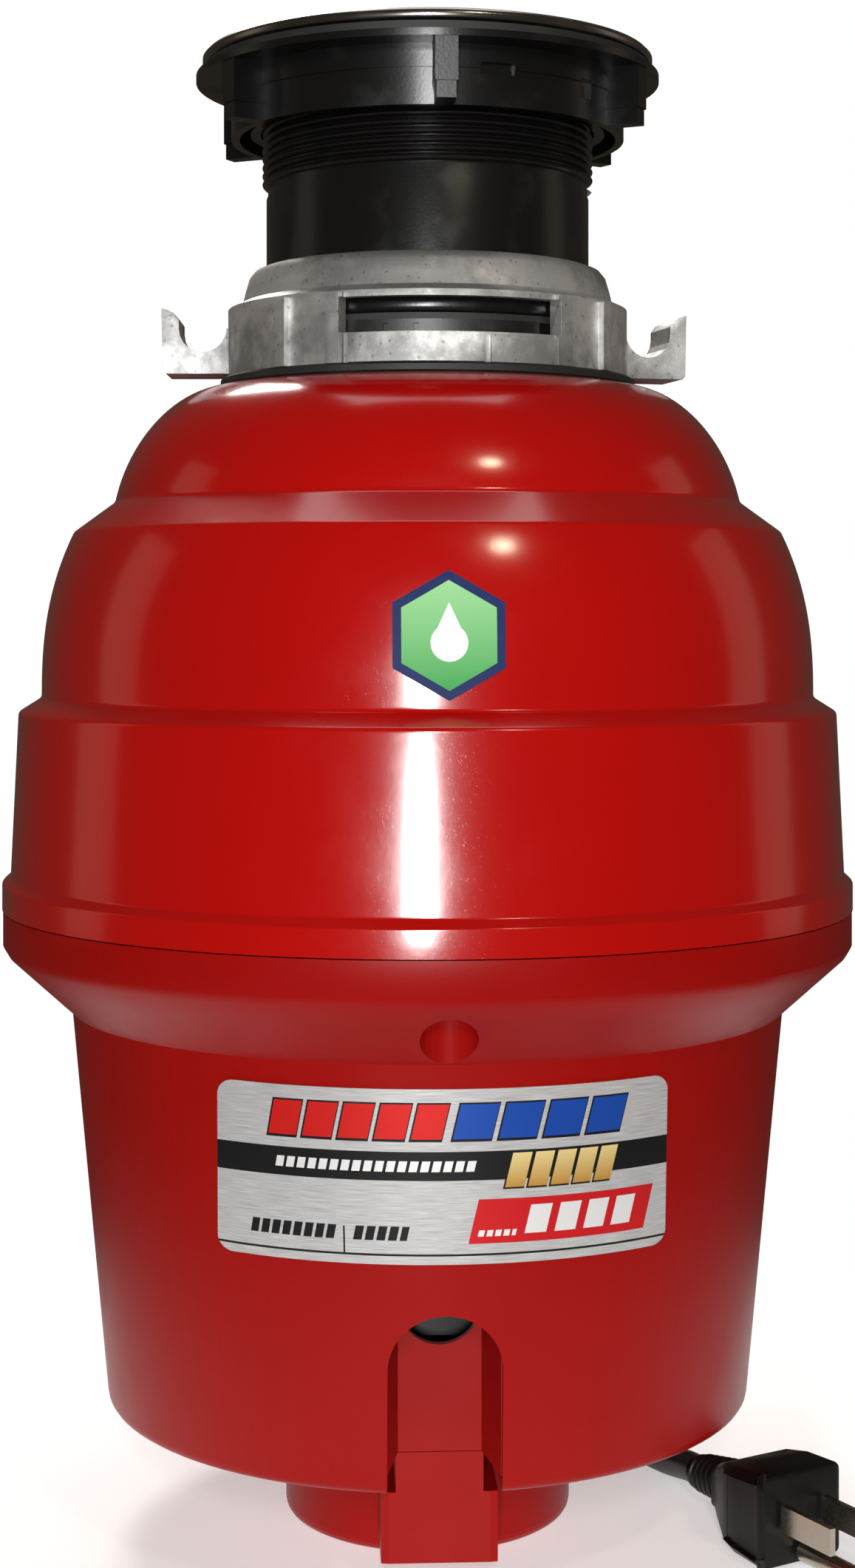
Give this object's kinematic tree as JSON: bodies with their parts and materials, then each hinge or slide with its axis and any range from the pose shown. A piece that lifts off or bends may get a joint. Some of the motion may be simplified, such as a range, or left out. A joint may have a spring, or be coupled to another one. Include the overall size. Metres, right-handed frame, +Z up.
{
  "type": "kitchen garbage disposal",
  "caption": "Food waste disposer with stepped round shells, twist-lock sink mount, threaded neck and steel sink flange, standing on its base with its cord.",
  "frame": {"origin": "centre of the base cap's underside, on the motor's axis, which is also the centre of the body's outline", "axes": "+Z up along the motor shaft towards the sink flange, -Y the front with the label and the wiring slot, +Y the back with the discharge outlet"},
  "size_m": [0.214, 0.2602, 0.3681],
  "materials": {
    "red_shell": "glossy",
    "black_plastic": "satin",
    "cast_alloy": "as cast, weathered",
    "stainless": "polished",
    "steel": "satin",
    "black_rubber": "matte",
    "foam": "matte felt",
    "grey_polymer": "satin",
    "motor_steel": "satin",
    "magnet": "matte",
    "copper": "varnished",
    "carbon": "matte",
    "board": "matte",
    "label_foil": "brushed foil",
    "badge_film": "glossy",
    "button_red": "glossy",
    "brass_plate": "bright",
    "cord_black": "satin"
  },
  "bodies": {
    "housing": {"upper_shell": "red_shell", "lower_shell": "red_shell", "base_cap": "red_shell", "wiring_duct": "red_shell", "chamber_cushion": "black_rubber", "grind_chamber": "grey_polymer", "chamber_seal": "black_rubber", "sound_liner": "foam", "shredder_ring": "stainless", "drain_chamber": "cast_alloy", "outlet_gasket": "black_rubber", "chamber_screws": "steel", "shaft_seal": "black_rubber", "upper_bearing": "steel", "lower_bearing": "steel", "motor_can": "motor_steel", "magnet_left": "magnet", "magnet_right": "magnet", "lower_end_bell": "cast_alloy", "through_bolts": "steel", "brush_plate": "board", "brush_spring_left": "steel", "brush_spring_right": "steel", "rectifier": "black_plastic", "overload_protector": "black_plastic", "shell_screws": "steel", "cap_screws": "steel", "rating_label": "label_foil", "badge": "badge_film", "cord_gland": "cord_black", "neck_seal": "black_rubber", "threaded_neck": "black_plastic", "sink_flange": "stainless", "cord_lead_in": "cord_black", "cord_coil": "cord_black", "cord_lead_out": "cord_black", "cord_plug": "cord_black", "plug_blades": "brass_plate"},
    "rotor": {"motor_shaft": "steel", "armature_core": "steel", "armature_windings": "copper", "commutator": "copper", "turntable": "stainless", "turntable_nut": "stainless", "lug_rivets": "stainless"},
    "front_lug": {"swivel_lug_front": "stainless"},
    "back_lug": {"swivel_lug_back": "stainless"},
    "left_brush": {"brush_left": "carbon"},
    "right_brush": {"brush_right": "carbon"},
    "button": {"reset_button": "button_red"},
    "ring": {"mounting_ring": "cast_alloy"},
    "gasket": {"sink_gasket": "black_rubber"},
    "nut": {"mounting_nut": "black_plastic"},
    "baffle": {"splash_guard": "black_rubber"}
  },
  "joints": [
    {"name": "rotor_spin", "type": "hinge", "parent": "housing", "child": "rotor", "pos_m": [0, 0, 0.1], "axis": [0, 0, 1], "continuous": true},
    {"name": "front_lug_swivel", "type": "hinge", "parent": "rotor", "child": "front_lug", "pos_m": [0, -0.04709, 0.2096], "axis": [0, 0, 1], "continuous": true},
    {"name": "back_lug_swivel", "type": "hinge", "parent": "rotor", "child": "back_lug", "pos_m": [0, 0.04709, 0.2096], "axis": [0, 0, 1], "continuous": true},
    {"name": "left_brush_slide", "type": "slide", "parent": "housing", "child": "left_brush", "axis": [-1, 0, 0], "range_m": [0, 0.003], "stiffness_N_per_m": 150, "springref_m": -0.004, "deforming": ["brush_spring_left"]},
    {"name": "right_brush_slide", "type": "slide", "parent": "housing", "child": "right_brush", "axis": [1, 0, 0], "range_m": [0, 0.003], "stiffness_N_per_m": 150, "springref_m": -0.004, "deforming": ["brush_spring_right"]},
    {"name": "reset_press", "type": "slide", "parent": "housing", "child": "button", "axis": [0, 0, -1], "range_m": [0, 0.003]},
    {"name": "ring_turn", "type": "hinge", "parent": "housing", "child": "ring", "pos_m": [0, 0, 0.294], "axis": [0, 0, 1], "range_deg": [0, 64]},
    {"name": "nut_gasket_slide", "type": "slide", "parent": "housing", "child": "gasket", "axis": [0, 0, 1], "range_m": [-0.0128, 0]},
    {"name": "nut_turn", "type": "hinge", "parent": "gasket", "child": "nut", "pos_m": [0, 0, 0.3562], "axis": [0, 0, 1], "range_deg": [-2160, 0]},
    {"name": "baffle_lift", "type": "slide", "parent": "housing", "child": "baffle", "axis": [0, 0, 1], "range_m": [0, 0.03]}
  ],
  "couplings": [
    {"joint": "nut_gasket_slide", "follows": "nut_turn", "m_per_rad": 0.00033693}
  ]
}
